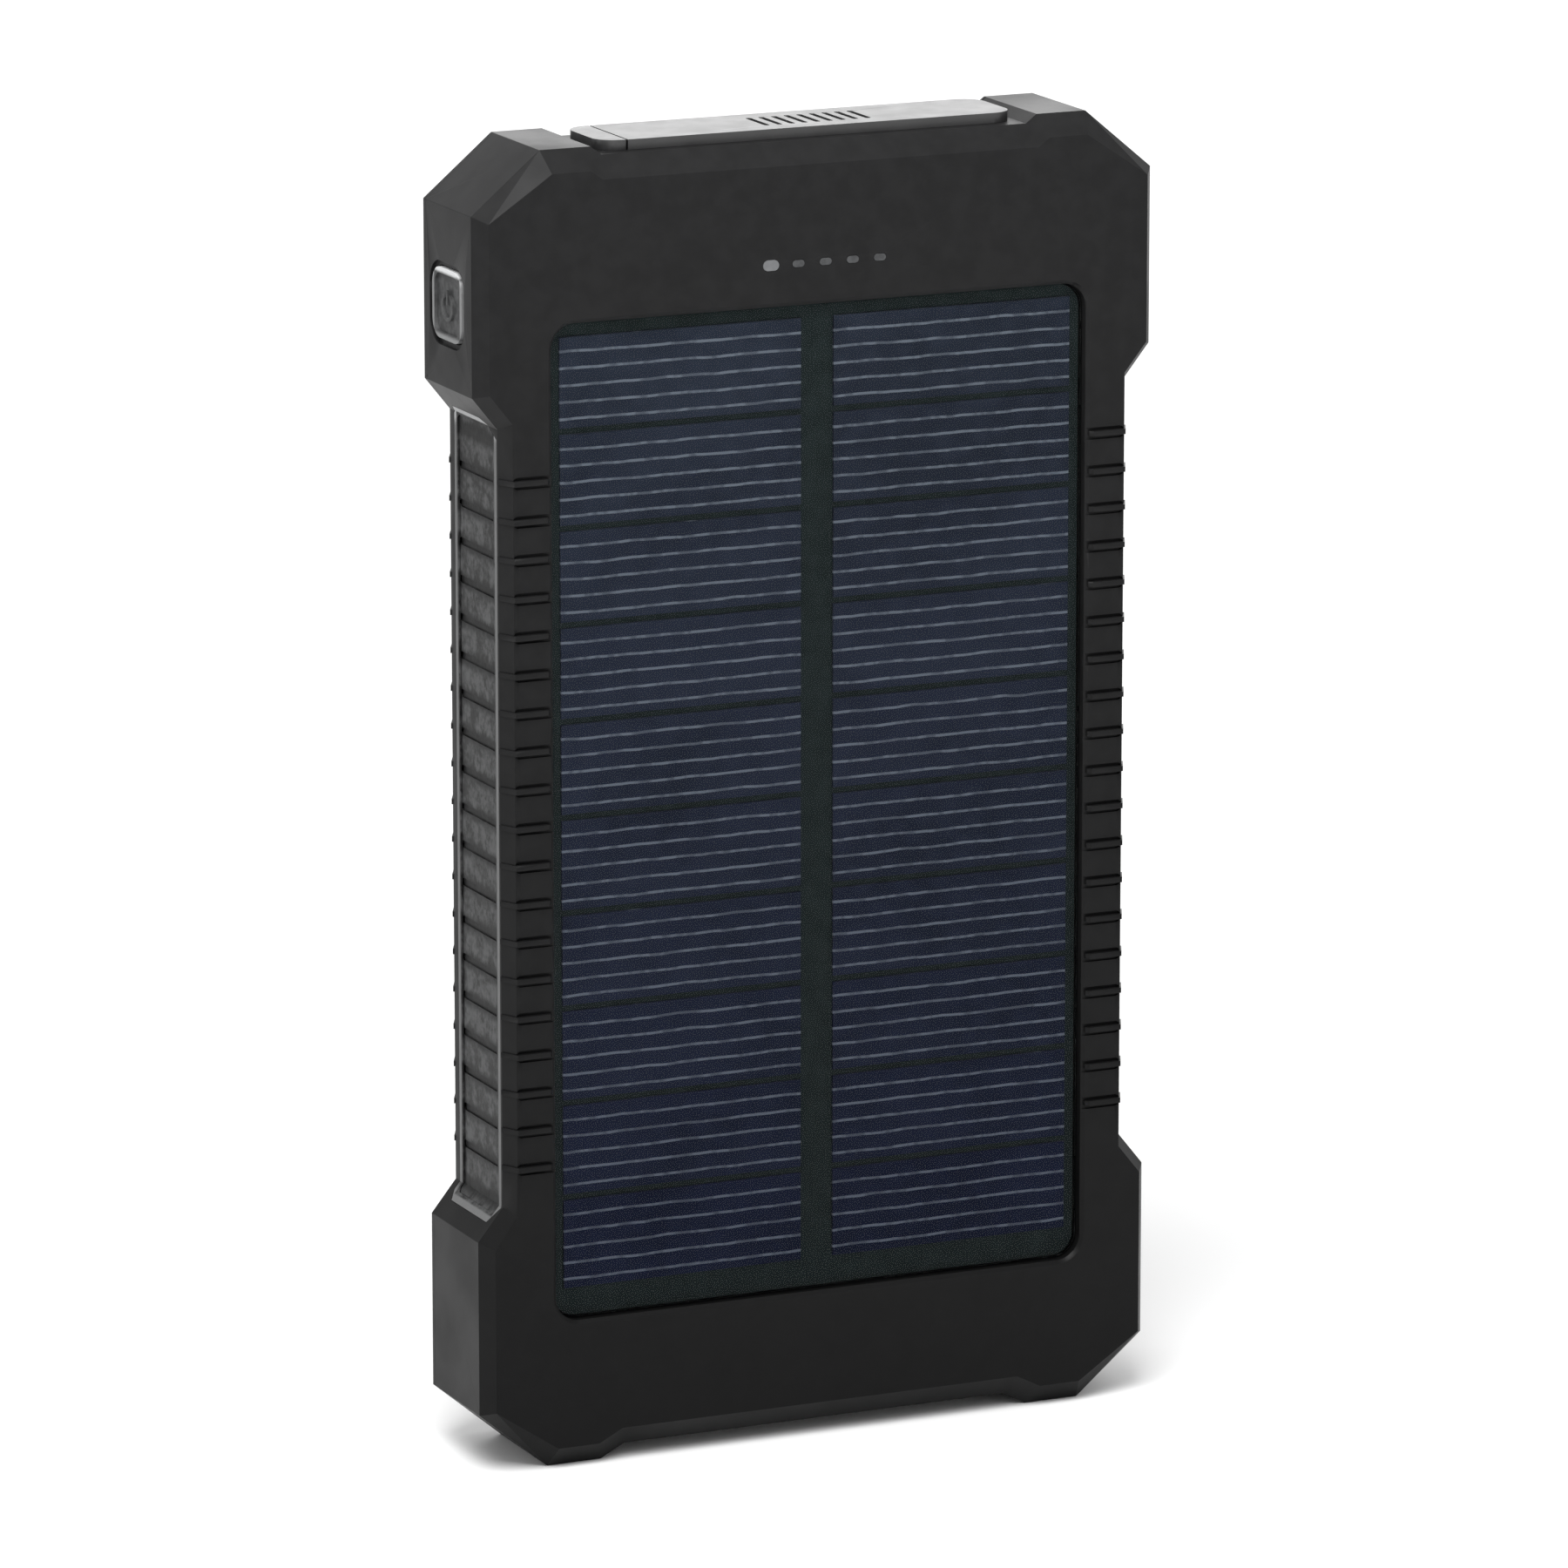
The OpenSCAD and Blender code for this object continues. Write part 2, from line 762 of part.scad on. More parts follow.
module usb_a_shell(x) {
    color([0.78, 0.78, 0.8])
        difference() {
            block([x - usb_w / 2, usb_y - usb_d / 2, usb_z0], [x + usb_w / 2, usb_y + usb_d / 2, usb_z1]);
            block([x - usb_w / 2 + usb_wall, usb_y - usb_d / 2 + usb_wall, usb_z0 + usb_wall],
                  [x + usb_w / 2 - usb_wall, usb_y + usb_d / 2 - usb_wall, usb_z1 + 1]);
        }
}

module usb_a_shell_left() { usb_a_shell(-usb_x); }
module usb_a_shell_right() { usb_a_shell(usb_x); }

module usb_a_tongue(x) {
    base_x = usb_w / 2 - usb_wall - fit_gap;
    base_y = usb_d / 2 - usb_wall - fit_gap;
    color([0.93, 0.93, 0.93]) {
        block([x - base_x, usb_y - base_y, usb_z0 + usb_wall + fit_gap],
              [x + base_x, usb_y + base_y, usb_z0 + usb_wall + base_h]);
        block([x - tongue_w / 2, tongue_y0, usb_z0 + usb_wall + base_h - overlap],
              [x + tongue_w / 2, tongue_y0 + tongue_t, tongue_z1]);
    }
}

module usb_a_tongue_left() { usb_a_tongue(-usb_x); }
module usb_a_tongue_right() { usb_a_tongue(usb_x); }

module usb_a_contacts(x) {
    color([0.83, 0.68, 0.3])
        for (i = [-1.5:1:1.5])
            translate([x + i * contact_pitch, 0, 0])
                block([-contact_w / 2, tongue_y0 - contact_t, usb_z0 + usb_wall + base_h + fit_gap],
                      [contact_w / 2, tongue_y0 - fit_gap, tongue_z1 - overlap]);
}

module usb_a_contacts_left() { usb_a_contacts(-usb_x); }
module usb_a_contacts_right() { usb_a_contacts(usb_x); }

// Outline of the small socket, in the top view, narrower on its lower side
function micro_points(wall) = [
    [-micro_w / 2 + wall, micro_y - micro_d / 2 + wall],
    [micro_w / 2 - wall, micro_y - micro_d / 2 + wall],
    [micro_w / 2 - wall, micro_y + 0.2],
    [micro_w / 2 - 1 - wall * 0.6, micro_y + micro_d / 2 - wall],
    [-micro_w / 2 + 1 + wall * 0.6, micro_y + micro_d / 2 - wall],
    [-micro_w / 2 + wall, micro_y + 0.2]
];

module micro_usb_shell() {
    color([0.78, 0.78, 0.8])
        difference() {
            translate([0, 0, micro_z0])
                linear_extrude(usb_z1 - micro_z0)
                    polygon(micro_points(0));
            translate([0, 0, micro_z0 + micro_wall])
                linear_extrude(far)
                    polygon(micro_points(micro_wall));
        }
}

module micro_usb_tongue() {
    color([0.12, 0.12, 0.12]) {
        block([-micro_tongue_w / 2, micro_y - micro_tongue_t / 2, micro_z0 + micro_wall + overlap],
              [micro_tongue_w / 2, micro_y + micro_tongue_t / 2, usb_z1 - 1]);
        translate([0, 0, micro_z0 + micro_wall + fit_gap])
            linear_extrude(2 * overlap)
                polygon(micro_points(micro_wall + fit_gap));
    }
}

module power_switch() {
    color([0.6, 0.6, 0.62])
        difference() {
            block([switch_x0, pcb_y - switch_h, button_z - switch_w / 2],
                  [switch_x0 + switch_l, pcb_y, button_z + switch_w / 2]);
            translate([switch_x0 - 1, button_y, button_z])
                rotate([0, 90, 0])
                    cylinder(r = plunger_r + plunger_gap, h = 1 + switch_bore_l);
        }
}

module switch_plunger() {
    color([0.85, 0.25, 0.15])
        translate([switch_x0 - plunger_l, button_y, button_z])
            rotate([0, 90, 0])
                cylinder(r = plunger_r, h = plunger_l + plunger_in);
}

// A component on the board, w wide, h high and t thick; z is above the board's lower edge
module on_board(x, z, w, h, t) {
    block([x - w / 2, pcb_y - t, pcb_z0 + z - h / 2], [x + w / 2, pcb_y, pcb_z0 + z + h / 2]);
}

module boost_inductor() {
    color([0.2, 0.2, 0.21]) {
        front_block(inductor_x, pcb_z0 + inductor_z, inductor_w, inductor_w, 1, inductor_y, pcb_y);
        bar_y(inductor_x, pcb_z0 + inductor_z, inductor_w / 3, inductor_y - 0.25, inductor_y + 0.1);
    }
}

module controller_chips() {
    color([0.06, 0.06, 0.065]) {
        on_board(8, 6.75, 6, 5.5, 1.2);
        on_board(0.3, 11.25, 4.2, 3.5, 1);
        on_board(16.6, 10.3, 3.2, 2.6, 0.9);
    }
}

module smoothing_capacitors() {
    color([0.62, 0.5, 0.36])
        for (p = [[-16.5, 4.5], [-16.5, 8], [-16.5, 11.5], [13.5, 4.6], [18.5, 4.6]])
            on_board(p[0], p[1], 3.2, 1.8, 1.4);
}

// ---- battery ----

module battery_pouch() {
    y = battery_y + battery_t / 2;
    color([0.75, 0.76, 0.78]) {
        translate([0, y, battery_z])
            linear_extrude(battery_h)
                round_rect(battery_w, battery_t, battery_r);
        block([-battery_w / 2 + 2, y - pouch_seam_t - 0.2, battery_z + battery_h - 1],
              [battery_w / 2 - 2, y - 0.2, battery_z + battery_h + pouch_seam_h]);
    }
}

module battery_protection_board() {
    color([0.05, 0.3, 0.15]) {
        block([-protect_x, protect_y, protect_z],
              [protect_x, protect_y + protect_t, protect_z + protect_h]);
        for (x = [-9, -4, 5])
            translate([x, protect_y + protect_t, protect_z + (protect_h - protect_chip_h) / 2])
                block([0, -slice, 0], [protect_chip_w, protect_t, protect_chip_h]);
    }
}

module battery_pads() {
    color([0.9, 0.9, 0.88])
        for (z = [battery_z + pad_h, battery_z + battery_h - 2 * pad_h])
            block([-battery_w / 2 + pad_in, cavity_y, z],
                  [battery_w / 2 - pad_in, cavity_y + pad_t, z + pad_h]);
}

// ---- internal leads ----

function unit(v) = v / norm(v);

// Rings of a tube round each point of a route that keeps to a plane of constant x
function ring(p, along, r) =
    let (side = [1, 0, 0], up = cross(unit(along), side))
    [for (k = [0:lead_sides - 1])
        p + r * (cos(k * 360 / lead_sides) * side + sin(k * 360 / lead_sides) * up)];

module lead(route) {
    n = len(route);
    points = [for (i = [0:n - 1])
        for (q = ring(route[i], route[min(i + 1, n - 1)] - route[max(i - 1, 0)], lead_r)) q];
    sides = [for (i = [0:n - 2]) for (k = [0:lead_sides - 1])
        let (a = i * lead_sides, k1 = (k + 1) % lead_sides)
        [a + k, a + k1, a + lead_sides + k1, a + lead_sides + k]];
    first_cap = [[for (k = [lead_sides - 1:-1:0]) k]];
    last_cap = [[for (k = [0:lead_sides - 1]) (n - 1) * lead_sides + k]];
    polyhedron(points, concat(first_cap, sides, last_cap), convexity = 4);
}

// Routes of the leads, in y and z
battery_route = [
    [1.9, 101.6], [2.0, 103], [2.6, 104.2], [3.5, 105.1], [4.05, 105.7], [4.17, 106.3], [4.17, 109], [4.17, 111]
];
solar_route = [
    [-6, 113.6], [-4.4, 113.6], [-3, 113.5], [-1.8, 113.1], [-0.6, 112.4], [0.6, 111.8], [1.6, 111.5],
    [pcb_y - fit_gap, 111.5]
];

function lead_path(x, route) = [for (p = route) [x, p[0], p[1]]];

module battery_lead_red() {
    color([0.75, 0.08, 0.08])
        lead(lead_path(-battery_lead_x, battery_route));
}

module battery_lead_black() {
    color([0.05, 0.05, 0.05])
        lead(lead_path(battery_lead_x, battery_route));
}

module solar_lead_red() {
    color([0.75, 0.08, 0.08])
        lead(lead_path(-solar_lead_x, solar_route));
}

module solar_lead_black() {
    color([0.05, 0.05, 0.05])
        lead(lead_path(solar_lead_x, solar_route));
}

// ---- fasteners ----

module screw(x, z, head_y, head_r, head_t, r, l) {
    difference() {
        union() {
            bar_y(x, z, head_r, head_y - head_t, head_y);
            bar_y(x, z, r, head_y - head_t - l, head_y - head_t + 0.1);
        }
        for (a = [0, 90])
            translate([x, head_y, z])
                rotate([0, a, 0])
                    cube([head_r * 1.2, head_t, screw_slot_w], center = true);
    }
}

module case_screws() {
    color([0.3, 0.3, 0.31])
        for (p = screw_places())
            screw(p[0], p[1], rear_y - screw_sink, screw_head_r, screw_head_t, screw_r, screw_l);
}

module board_screws() {
    color([0.7, 0.7, 0.72])
        for (s = [-1, 1])
            screw(s * board_screw_x, board_screw_z, pcb_y + pcb_t + board_head_t, screw_head_r,
                  board_head_t, board_screw_r, board_screw_l);
}

// ---- moving pieces ----

module power_button() {
    stem_end = switch_x0 - plunger_l - push_gap;
    color([0.45, 0.45, 0.45]) {
        difference() {
            side_block(button_y, button_z, button_w, button_h, button_r, -half_w, flange_x + flange_t);
            difference() {
                side_block(button_y, button_z, button_w - 2 * button_rim, button_h - 2 * button_rim,
                           button_r - button_rim, -far, -half_w + button_dish);
                power_mark();
            }
        }
        side_block(button_y, button_z, button_w + 2 * button_flange, button_h + 2 * button_flange,
                   button_r, flange_x, flange_x + flange_t);
        translate([flange_x, button_y, button_z])
            rotate([0, 90, 0])
                cylinder(r = stem_r, h = stem_end - flange_x);
    }
}

// Raised on/off mark: an open ring with a bar
module power_mark() {
    translate([-far, button_y, button_z - mark_line / 2])
        rotate([0, 90, 0])
            difference() {
                cylinder(r = mark_r, h = far - half_w + button_dish);
                translate([0, 0, -1])
                    cylinder(r = mark_r - mark_line, h = far);
                translate([-mark_r * 2, -mark_gap / 2, -1])
                    cube([mark_r * 2, mark_gap, far]);
            }
    block([-far, button_y - mark_line / 2, button_z],
          [-half_w + button_dish, button_y + mark_line / 2, button_z + mark_r]);
}

// The cover lies in the notch and swings up about its fold, beside the anchor
module port_cover() {
    x0 = hinge_x + hinge_gap / 2;
    x1 = cover_l / 2;
    color([0.2, 0.2, 0.2]) {
        difference() {
            union() {
                translate([(x0 + x1) / 2, 0, cover_z])
                    linear_extrude(port_cover_t)
                        round_rect(x1 - x0, cover_w, cover_r);
                block([x0, -cover_w / 2, cover_z], [x0 + fold_l, cover_w / 2, cover_z + port_cover_t]);
            }
            for (i = [0:ridge_count - 1])
                translate([ridge_x + (i - (ridge_count - 1) / 2) * ridge_pitch, 0, cover_top_z - ridge_t])
                    linear_extrude(1)
                        round_rect(ridge_w, ridge_l, ridge_r);
        }
        for (s = [-1, 1])
            translate([s * usb_x, usb_y, cover_z - plug_h])
                linear_extrude(plug_h + overlap)
                    round_rect(usb_w - plug_in, usb_d - plug_in, plug_r);
    }
}

// The fixed end of the cover, with two pegs pressed into the case
module cover_anchor() {
    x0 = -cover_l / 2;
    x1 = hinge_x - hinge_gap / 2;
    color([0.2, 0.2, 0.2]) {
        difference() {
            translate([x0 + cover_r, 0, cover_z])
                linear_extrude(port_cover_t)
                    round_rect(2 * cover_r, cover_w, cover_r - slice);
            block([x1, -far, 0], [far, far, 2 * body_h]);
        }
        for (s = [-1, 1])
            translate([peg_x, s * peg_y, notch_z - peg_l])
                cylinder(r = peg_r - peg_gap, h = peg_l + overlap, $fn = 24);
    }
}

front_shell();
rear_shell();
shell_seal();
side_trim_left();
side_trim_right();
solar_board();
solar_cover();
solar_tape();
indicator_light_pipe();
indicator_leds();
for (side = columns) for (row = [1:rows])
    solar_cell(side, row);
main_circuit_board();
usb_a_shell_left();
usb_a_shell_right();
usb_a_tongue_left();
usb_a_tongue_right();
usb_a_contacts_left();
usb_a_contacts_right();
micro_usb_shell();
micro_usb_tongue();
power_switch();
switch_plunger();
boost_inductor();
controller_chips();
smoothing_capacitors();
battery_pouch();
battery_protection_board();
battery_pads();
battery_lead_red();
battery_lead_black();
solar_lead_red();
solar_lead_black();
case_screws();
board_screws();
power_button();
port_cover();
cover_anchor();
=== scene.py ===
# Looks of the solar phone charger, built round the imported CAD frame.
# Lengths are in metres in the shared frame: +X across the width, -Y out of the solar face, +Z up.
import math

import bpy
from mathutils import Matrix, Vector

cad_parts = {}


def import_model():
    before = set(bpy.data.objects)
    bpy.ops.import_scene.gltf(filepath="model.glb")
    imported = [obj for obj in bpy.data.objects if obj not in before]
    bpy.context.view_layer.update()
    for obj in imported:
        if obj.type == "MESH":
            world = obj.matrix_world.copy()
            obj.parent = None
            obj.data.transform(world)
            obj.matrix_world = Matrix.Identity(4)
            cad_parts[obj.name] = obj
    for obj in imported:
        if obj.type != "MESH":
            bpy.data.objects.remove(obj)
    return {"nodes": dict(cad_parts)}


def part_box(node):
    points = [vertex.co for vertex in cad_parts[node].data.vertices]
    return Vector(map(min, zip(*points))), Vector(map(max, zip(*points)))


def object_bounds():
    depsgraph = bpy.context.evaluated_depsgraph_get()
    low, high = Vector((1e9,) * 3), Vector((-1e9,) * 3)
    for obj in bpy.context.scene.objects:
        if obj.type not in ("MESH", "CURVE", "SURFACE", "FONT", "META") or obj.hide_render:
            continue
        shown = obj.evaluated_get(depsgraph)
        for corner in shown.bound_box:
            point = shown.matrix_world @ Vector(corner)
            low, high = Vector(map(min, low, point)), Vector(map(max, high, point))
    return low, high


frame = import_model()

nodes = frame["nodes"]
cad_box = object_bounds()
MM = 0.001


# ---- material helpers ----

NOISE_LOW = 0.3      # most values of a noise lie between these two
NOISE_HIGH = 0.7


class Mat:
    """A Principled material with short calls for its nodes."""

    def __init__(self, name, **sockets):
        self.m = bpy.data.materials.new(name)
        self.m.use_nodes = True
        self.t = self.m.node_tree
        self.bsdf = self.t.nodes["Principled BSDF"]
        self.coords = self.t.nodes.new("ShaderNodeTexCoord").outputs["Object"]
        for key, value in sockets.items():
            self.set(key.replace("_", " "), value)

    def set(self, socket, value):
        s = self.bsdf.inputs[socket]
        if isinstance(value, bpy.types.NodeSocket):
            self.t.links.new(value, s)
        elif isinstance(value, tuple):
            s.default_value = (*value, 1.0)[:len(s.default_value)]
        else:
            s.default_value = value

    def node(self, kind, **settings):
        n = self.t.nodes.new(kind)
        for key, value in settings.items():
            setattr(n, key, value)
        return n

    def put(self, socket, value):
        if isinstance(value, bpy.types.NodeSocket):
            self.t.links.new(value, socket)
        else:
            socket.default_value = value

    def scaled(self, scale):
        n = self.node("ShaderNodeMapping")
        self.put(n.inputs["Vector"], self.coords)
        n.inputs["Scale"].default_value = scale
        return n.outputs["Vector"]

    def noise(self, size, detail=3.0, rough=0.55, vector=None):
        """Noise with features of about that size in metres."""
        n = self.node("ShaderNodeTexNoise")
        self.put(n.inputs["Vector"], vector or self.coords)
        n.inputs["Scale"].default_value = 1.0 / size
        n.inputs["Detail"].default_value = detail
        n.inputs["Roughness"].default_value = rough
        return n.outputs["Fac"]

    def cells(self, size, vector=None):
        n = self.node("ShaderNodeTexVoronoi")
        self.put(n.inputs["Vector"], vector or self.coords)
        n.inputs["Scale"].default_value = 1.0 / size
        return n.outputs["Distance"]

    def ramp(self, fac, low, high, out_low=0.0, out_high=1.0, smooth=True):
        n = self.node("ShaderNodeMapRange", interpolation_type="SMOOTHSTEP" if smooth else "LINEAR")
        self.put(n.inputs["Value"], fac)
        self.put(n.inputs["From Min"], low)
        self.put(n.inputs["From Max"], high)
        self.put(n.inputs["To Min"], out_low)
        self.put(n.inputs["To Max"], out_high)
        return n.outputs["Result"]

    def spread(self, noise, out_low=0.0, out_high=1.0):
        """Stretches a noise over the range from out_low to out_high."""
        return self.ramp(noise, NOISE_LOW, NOISE_HIGH, out_low, out_high)

    def math(self, op, a, b=None):
        n = self.node("ShaderNodeMath", operation=op)
        self.put(n.inputs[0], a)
        if b is not None:
            self.put(n.inputs[1], b)
        return n.outputs[0]

    def swing(self, noise, reach):
        """A noise as an offset to either side of 0, up to half of reach."""
        return self.math("MULTIPLY", self.math("SUBTRACT", noise, 0.5), reach)

    def from_nearest(self, phase):
        """How far a phase is from the nearest whole number."""
        return self.math("ABSOLUTE", self.math("SUBTRACT", phase, self.math("ROUND", phase)))

    def mix(self, fac, a, b):
        n = self.node("ShaderNodeMix", data_type="RGBA")
        self.put(n.inputs["Factor"], fac)
        for socket, value in ((n.inputs[6], a), (n.inputs[7], b)):
            self.put(socket, (*value, 1.0) if isinstance(value, tuple) else value)
        return n.outputs[2]

    def axis(self, name):
        n = self.node("ShaderNodeSeparateXYZ")
        self.put(n.inputs[0], self.coords)
        return n.outputs[name]

    def bump(self, height, strength, distance):
        n = self.node("ShaderNodeBump")
        n.inputs["Strength"].default_value = strength
        n.inputs["Distance"].default_value = distance
        self.put(n.inputs["Height"], height)
        old = self.bsdf.inputs["Normal"]
        if old.is_linked:
            self.t.links.new(old.links[0].from_socket, n.inputs["Normal"])
        self.t.links.new(n.outputs["Normal"], old)


def times(color, factor):
    return tuple(factor * c for c in color)


GRAIN = 0.12 * MM
GRAIN_DEPTH = 0.012 * MM
MOTTLE = 2.2 * MM
SHINE_PATCH = 5.0 * MOTTLE
SINK = 9.0 * MM
SINK_DEPTH = 0.04 * MM


def plastic(name, low, high, rough, spec=0.5, painted_low_shade=0.0):
    """Moulded plastic: spark-eroded grain, slight flow marks and patches of handling shine.

    Its last argument, over 0, is how much darker its colour is painted at the foot of the body than at its
    top: painted shade for light that falls off downwards."""
    p = Mat(name, Specular_IOR_Level=spec)
    color = p.mix(p.spread(p.noise(MOTTLE, 4.0)), low, high)
    if painted_low_shade > 0:
        # painted shade: the colour darkens toward the foot of the body
        down = p.ramp(p.axis("Z"), cad_box[0].z, cad_box[1].z, painted_low_shade, 0.0, smooth=False)
        color = p.mix(down, color, times(low, 0.1))
    p.set("Base Color", color)
    p.set("Roughness", p.spread(p.noise(SHINE_PATCH, 3.0), rough - 0.05, rough + 0.06))
    p.bump(p.noise(GRAIN, 2.0), 0.6, GRAIN_DEPTH)
    p.bump(p.noise(SINK, 2.0), 0.25, SINK_DEPTH)
    return p.m


BRUSH_SIZE = 30.0 * MM
BRUSH_SCALE = (30.0, 30.0, 900.0)


def metal(name, color, rough):
    """Metal with fine brushed lines across its height."""
    p = Mat(name, Metallic=1.0, Specular_IOR_Level=0.5)
    lines = p.noise(BRUSH_SIZE, 3.0, vector=p.scaled(BRUSH_SCALE))
    p.set("Base Color", p.mix(p.spread(lines), times(color, 0.8), color))
    p.set("Roughness", p.spread(lines, rough - 0.06, rough + 0.08))
    p.bump(lines, 0.2, 0.01 * MM)
    return p.m


# ---- materials ----

def edge_distance(p, axes, low, high):
    """How far a point is inside the rectangle from low to high, on two axes."""
    gaps = []
    for name, lo, hi in zip(axes, low, high):
        at = p.axis(name)
        gaps += [p.math("SUBTRACT", at, lo), p.math("SUBTRACT", hi, at)]
    nearest = gaps[0]
    for gap in gaps[1:]:
        nearest = p.math("MINIMUM", nearest, gap)
    return nearest


SHADE_BAND_Z = 67.5 * MM          # the middle of one band of painted groove shade on a trim
SHADE_BAND_PITCH = 3.93 * MM
HIGHLIGHT_REACH = 2.2 * MM       # the top of the rim, which a painted highlight makes paler
HIGHLIGHT_FULL = 1.0 * MM
RIM_WAVER = 0.2 * MM


def grey_rubber(name, node, rim, dark, pale, rim_highlight_color, painted_shade_bands=False):
    """Dark rubber with dusty smears on its face, bands of painted groove shade where asked, and a painted
    highlight along its rim, strongest at its top end.
    """
    p = Mat(name, Specular_IOR_Level=0.1)
    smear = p.noise(2.0 * MM, 5.0, 0.7, vector=p.scaled((1.0, 1.0, 0.7)))
    fine = p.noise(0.6 * MM, 4.0, 0.6)
    both = p.math("ADD", p.math("MULTIPLY", smear, 0.7), p.math("MULTIPLY", fine, 0.3))
    low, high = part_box(node)
    inside = p.math("ADD", edge_distance(p, "YZ", low[1:], high[1:]), p.swing(fine, RIM_WAVER))
    # painted highlight: the rim gets a paler colour, for light on its rounded edge
    on_highlit_rim = p.ramp(inside, 0.75 * rim, 1.05 * rim, 1.0, 0.0)
    face = p.mix(p.ramp(both, 0.38, 0.62), dark, pale)
    if painted_shade_bands:
        # painted shade: dark bands across the face, where the grooves lie in shadow
        phase = p.math("DIVIDE", p.math("SUBTRACT", p.axis("Z"), SHADE_BAND_Z), SHADE_BAND_PITCH)
        off = p.from_nearest(p.math("ADD", phase, p.swing(smear, 0.5)))
        face = p.mix(p.ramp(off, 0.1, 0.32, 0.75, 0.0), face, times(dark, 0.45))
    # painted highlight, paler still near the top end of the rim
    highlit_end = p.ramp(p.axis("Z"), high.z - HIGHLIGHT_REACH, high.z - HIGHLIGHT_FULL)
    rim_highlight_face = p.mix(highlit_end, rim_highlight_color, times(rim_highlight_color, 3.0))
    p.set("Base Color", p.mix(on_highlit_rim, face, rim_highlight_face))
    p.set("Roughness", p.spread(smear, 0.4, 0.6))
    p.bump(fine, 0.4, 0.03 * MM)
    p.bump(smear, 0.4, 0.06 * MM)
    return p.m


def cover_rubber():
    """Satin black rubber, smoother than the shell, with a few scuffs."""
    p = Mat("cover_rubber", Specular_IOR_Level=1.0)
    patches = p.noise(4.0 * MM, 4.0, 0.6)
    p.set("Base Color", p.mix(p.spread(patches), (0.012, 0.012, 0.0125), (0.02, 0.02, 0.0205)))
    p.set("Roughness", p.spread(patches, 0.36, 0.42))
    p.bump(p.noise(0.2 * MM, 3.0), 0.3, 0.01 * MM)
    p.bump(p.noise(3.0 * MM, 2.0), 0.12, 0.05 * MM)
    return p.m


ROWS = 10
CELL_SHADED_LOW = (0.0095, 0.0112, 0.0285)     # silicon and finger lines of the lowest row, then of the top row; lower rows are darker, painted shade for light that falls off downwards
LINE_SHADED_LOW = (0.108, 0.118, 0.158)
CELL_LIT_TOP = (0.0285, 0.0335, 0.052)
LINE_LIT_TOP = (0.182, 0.198, 0.238)
FINGER_FIRST = 1.5 * MM
FINGER_PITCH = 1.7 * MM
FINGER_WIDTH = 0.2 * MM
FINGER_WAVE = 0.35 * MM


def finger_lines(p, top_z):
    """1 on the pale finger lines of a cell whose top edge is at top_z, and 0 between them."""
    down = p.math("SUBTRACT", top_z, p.axis("Z"))
    down = p.math("ADD", down, p.swing(p.noise(4.0 * MM, 2.0), FINGER_WAVE))
    off = p.from_nearest(p.math("DIVIDE", p.math("SUBTRACT", down, FINGER_FIRST), FINGER_PITCH))
    share = FINGER_WIDTH / FINGER_PITCH
    return p.ramp(off, 0.5 * share, 0.85 * share, 1.0, 0.0)


def silicon(name, top_z, shaded_tint, shaded_line_color):
    """A cell: navy silicon with a faint crystal figure and pale, slightly broken finger lines, in colours
    that carry the painted shade of its row.
    """
    p = Mat(name, Specular_IOR_Level=0.03, Roughness=0.4)
    figure = p.cells(2.4 * MM, vector=p.scaled((1.0, 1.0, 1.6)))
    base = p.mix(p.ramp(figure, 0.1, 0.7), shaded_tint, times(shaded_tint, 0.8))
    cloud = p.ramp(p.noise(14.0 * MM, 3.0), 0.35, 0.65, 0.0, 0.5)
    base = p.mix(cloud, base, times(shaded_tint, 1.35))
    lines = finger_lines(p, top_z)
    streaks = p.noise(2.2 * MM, 3.0, 0.6, vector=p.scaled((1.0, 1.0, 0.6)))
    broken = p.ramp(streaks, 0.4, 0.62, 0.5, 1.15)
    p.set("Base Color", p.mix(p.math("MULTIPLY", lines, broken), base, shaded_line_color))
    return p.m


def between(low, top, height):
    """The colour at that height, from 0 at low to 1 at top."""
    return tuple(a + height * (b - a) for a, b in zip(low, top))


LAMINATE_IOR = 1.16      # low, for a matt cover
FRONT_SKIN = (0.02 * MM, 0.05 * MM)


def laminate():
    """The clear cover over the cells: a thin textured film that lets the cells show.

    Only its front reflects, because Fresnel at its other faces would act as a mirror from inside."""
    p = Mat("panel_cover")
    t = p.t
    clear = p.node("ShaderNodeBsdfTransparent")
    clear.inputs["Color"].default_value = (0.93, 0.95, 0.95, 1.0)
    gloss = p.node("ShaderNodeBsdfGlossy")
    t.links.new(p.spread(p.noise(9.0 * MM, 3.0), 0.24, 0.36), gloss.inputs["Roughness"])
    fresnel = p.node("ShaderNodeFresnel")
    fresnel.inputs["IOR"].default_value = LAMINATE_IOR
    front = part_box("solar_cover")[0].y
    on_front = p.ramp(p.axis("Y"), front + FRONT_SKIN[0], front + FRONT_SKIN[1], 1.0, 0.0)
    mix = p.node("ShaderNodeMixShader")
    t.links.new(p.math("MULTIPLY", fresnel.outputs[0], on_front), mix.inputs[0])
    t.links.new(clear.outputs[0], mix.inputs[1])
    t.links.new(gloss.outputs[0], mix.inputs[2])
    t.links.new(mix.outputs[0], t.nodes["Material Output"].inputs["Surface"])
    t.nodes.remove(p.bsdf)
    return p.m


FIRST_PIP = 2.6 * MM      # from the pipe's left end to the right of its first pip
PIP_GLOW = 0.14


